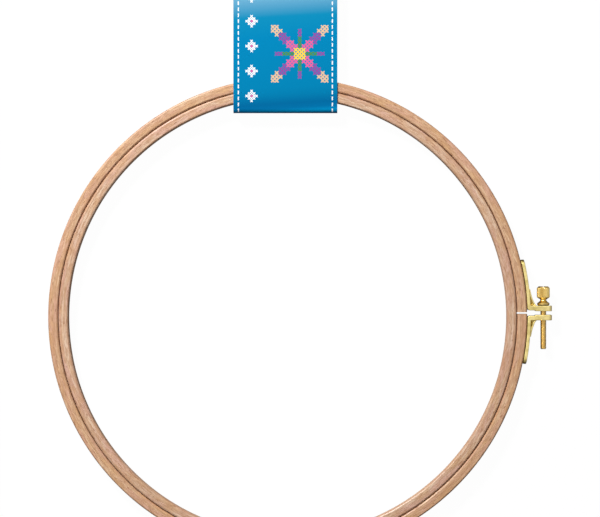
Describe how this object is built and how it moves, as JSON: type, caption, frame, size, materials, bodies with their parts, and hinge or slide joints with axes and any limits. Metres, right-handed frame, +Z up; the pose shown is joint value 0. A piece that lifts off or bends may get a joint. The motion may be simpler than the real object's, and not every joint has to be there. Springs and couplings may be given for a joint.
{
  "type": "embroidery hoop",
  "caption": "Round beech embroidery hoop: a closed inner ring in a split outer ring drawn tight by a knurled thumb screw, with a folded card slipped over both rings.",
  "frame": {"origin": "the middle of the whole part's box, card included, on the surface that the hoop lies on; the rings' own axis stands at x -6.5 mm, y -30.575 mm", "axes": "+Z up, along the rings' axis; +Y from the rings' middle towards the card; +X towards the clamp"},
  "size_m": [0.263, 0.3112, 0.0094],
  "materials": {
    "inner_beech": "satin",
    "outer_beech": "satin",
    "brass_plate": "satin",
    "turned_brass": "gloss",
    "nail_steel": "satin",
    "printed_card": "satin"
  },
  "bodies": {
    "lower_half": {"outer_ring_lower": "outer_beech", "lower_bracket": "brass_plate", "lower_nail_1": "nail_steel", "lower_nail_2": "nail_steel"},
    "upper_half": {"outer_ring_upper": "outer_beech", "upper_bracket": "brass_plate", "upper_nail_1": "nail_steel", "upper_nail_2": "nail_steel"},
    "screw": {"clamp_screw": "turned_brass"},
    "inner": {"inner_ring": "inner_beech"},
    "card": {"card_back": "printed_card"},
    "card_flap": {"card_front": "printed_card"}
  },
  "joints": [
    {"name": "ring_flex", "type": "hinge", "parent": "lower_half", "child": "upper_half", "pos_m": [-0.12895, -0.02863, 0.0047], "axis": [0, 0, 1], "range_deg": [0, 1.34]},
    {"name": "screw_turn", "type": "hinge", "parent": "upper_half", "child": "screw", "pos_m": [0.1272, -0.02451, 0.0047], "axis": [0, 1, 0], "range_deg": [0, 4320]},
    {"name": "inner_ring_lift", "type": "slide", "parent": "lower_half", "child": "inner", "axis": [0, 0, 1], "range_m": [0, 0.012]},
    {"name": "card_slide", "type": "slide", "parent": "lower_half", "child": "card", "axis": [0, -1, 0], "range_m": [0, 0.078]},
    {"name": "card_fold", "type": "hinge", "parent": "card", "child": "card_flap", "pos_m": [-0.0077, 0.07558, 0.00885], "axis": [1, 0, 0], "range_deg": [0, 150]}
  ],
  "couplings": [
    {"joint": "screw_turn", "follows": "ring_flex", "ratio": 3218.9},
    {"joint": "card_fold", "follows": "inner_ring_lift", "rad_per_m": 218.17}
  ]
}
